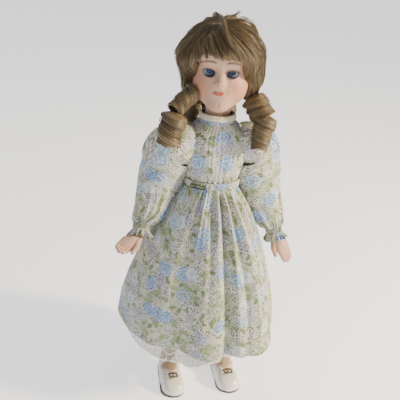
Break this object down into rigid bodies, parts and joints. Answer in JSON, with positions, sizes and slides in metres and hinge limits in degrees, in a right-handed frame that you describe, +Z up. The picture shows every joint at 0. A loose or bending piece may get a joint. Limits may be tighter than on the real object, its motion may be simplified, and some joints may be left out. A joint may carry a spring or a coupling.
{
  "type": "porcelain doll",
  "caption": "Strung ball-jointed child doll with bisque socket head and hands, curled wig, long floral dress, petticoat and buckled shoes.",
  "frame": {"origin": "middle of the whole doll seen from above, on the floor it stands on", "axes": "+Z up, the doll faces -Y, +X is the doll's own left side"},
  "size_m": [0.2394, 0.2066, 0.498],
  "materials": {
    "bisque": "matte bisque porcelain, fired with a flesh tint",
    "composition": "painted composition, satin",
    "glass_eye": "blown glass, glossy",
    "plaster": "matte plaster",
    "cork": "raw cork",
    "turned_wood": "raw turned wood",
    "steel_wire": "bright wire",
    "elastic": "braided cover",
    "cap_net": "wig net",
    "wig_hair": "golden brown synthetic fibre, soft sheen",
    "floral_cotton": "pale printed cotton lawn, matte",
    "cream_lace": "cotton lace",
    "white_batiste": "thin white batiste",
    "white_net": "embroidered net",
    "dark_cord": "thin dark cord",
    "snap_metal": "nickel plated",
    "nylon": "fine flesh nylon knit",
    "white_leatherette": "smooth, half gloss",
    "sole_board": "dark brown, matte",
    "bronze": "aged bronze"
  },
  "bodies": {
    "torso": {"torso": "composition", "body_elastic": "elastic", "arm_elastic": "elastic", "bodice": "floral_cotton", "collar": "floral_cotton", "collar_lace": "cream_lace", "back_snaps": "snap_metal", "waistband": "floral_cotton", "waist_loop": "dark_cord", "skirt": "floral_cotton", "petticoat": "white_batiste", "petticoat_lace": "white_net", "bloomers": "white_batiste"},
    "head": {"head": "bisque", "neck_button": "turned_wood", "neck_hook": "steel_wire", "right_eye": "glass_eye", "left_eye": "glass_eye", "eye_plaster": "plaster", "pate": "cork", "wig_cap": "cap_net", "hair": "wig_hair", "right_curls": "wig_hair", "left_curls": "wig_hair", "back_curls": "wig_hair"},
    "right_upper_arm": {"right_upper_arm": "composition", "right_arm_cord": "elastic", "right_sleeve": "floral_cotton"},
    "right_forearm": {"right_forearm": "composition", "right_wrist_hook": "steel_wire", "right_cuff": "floral_cotton", "right_ruffle": "floral_cotton"},
    "right_hand": {"right_hand": "bisque"},
    "right_thigh": {"right_thigh": "composition", "right_leg_cord": "elastic"},
    "right_lower_leg": {"right_lower_leg": "composition", "right_stocking": "nylon", "right_shoe": "white_leatherette", "right_sole": "sole_board", "right_strap": "white_leatherette", "right_buckle": "bronze"},
    "left_upper_arm": {"left_upper_arm": "composition", "left_arm_cord": "elastic", "left_sleeve": "floral_cotton"},
    "left_forearm": {"left_forearm": "composition", "left_wrist_hook": "steel_wire", "left_cuff": "floral_cotton", "left_ruffle": "floral_cotton"},
    "left_hand": {"left_hand": "bisque"},
    "left_thigh": {"left_thigh": "composition", "left_leg_cord": "elastic"},
    "left_lower_leg": {"left_lower_leg": "composition", "left_stocking": "nylon", "left_shoe": "white_leatherette", "left_sole": "sole_board", "left_strap": "white_leatherette", "left_buckle": "bronze"}
  },
  "joints": [
    {"name": "head_turn", "type": "hinge", "parent": "torso", "child": "head", "pos_m": [0.0045, 0, 0.375], "axis": [0, 0, 1], "range_deg": [-30, 45], "deforming": ["right_curls", "left_curls", "back_curls"]},
    {"name": "right_shoulder", "type": "hinge", "parent": "torso", "child": "right_upper_arm", "pos_m": [-0.0395, 0, 0.348], "axis": [-1, 0, 0], "range_deg": [-25, 80], "deforming": ["right_sleeve"]},
    {"name": "right_elbow", "type": "hinge", "parent": "right_upper_arm", "child": "right_forearm", "pos_m": [-0.07242, 0.01497, 0.28116], "axis": [-0.8933, -0.2237, 0.3899], "range_deg": [-40, 15], "deforming": ["right_sleeve"]},
    {"name": "right_wrist", "type": "hinge", "parent": "right_forearm", "child": "right_hand", "pos_m": [-0.08498, -0.02062, 0.23196], "axis": [-0.2026, -0.574, -0.7934], "range_deg": [-60, 60]},
    {"name": "right_hip", "type": "hinge", "parent": "torso", "child": "right_thigh", "pos_m": [-0.0155, 0, 0.212], "axis": [-1, 0, 0], "range_deg": [-12, 12], "deforming": ["bloomers"]},
    {"name": "right_knee", "type": "hinge", "parent": "right_thigh", "child": "right_lower_leg", "pos_m": [-0.0235, 0, 0.12], "axis": [1, 0, 0], "range_deg": [0, 35]},
    {"name": "left_shoulder", "type": "hinge", "parent": "torso", "child": "left_upper_arm", "pos_m": [0.0485, 0, 0.348], "axis": [-1, 0, 0], "range_deg": [-25, 80], "deforming": ["left_sleeve"]},
    {"name": "left_elbow", "type": "hinge", "parent": "left_upper_arm", "child": "left_forearm", "pos_m": [0.07848, 0.01099, 0.27904], "axis": [-1, 0, 0], "range_deg": [-15, 45], "deforming": ["left_sleeve"]},
    {"name": "left_wrist", "type": "hinge", "parent": "left_forearm", "child": "left_hand", "pos_m": [0.09366, -0.00215, 0.22038], "axis": [0.2447, -0.2121, -0.9461], "range_deg": [-60, 60]},
    {"name": "left_hip", "type": "hinge", "parent": "torso", "child": "left_thigh", "pos_m": [0.0245, 0, 0.212], "axis": [-1, 0, 0], "range_deg": [-12, 12], "deforming": ["bloomers"]},
    {"name": "left_knee", "type": "hinge", "parent": "left_thigh", "child": "left_lower_leg", "pos_m": [0.0325, 0, 0.12], "axis": [1, 0, 0], "range_deg": [0, 35]}
  ]
}
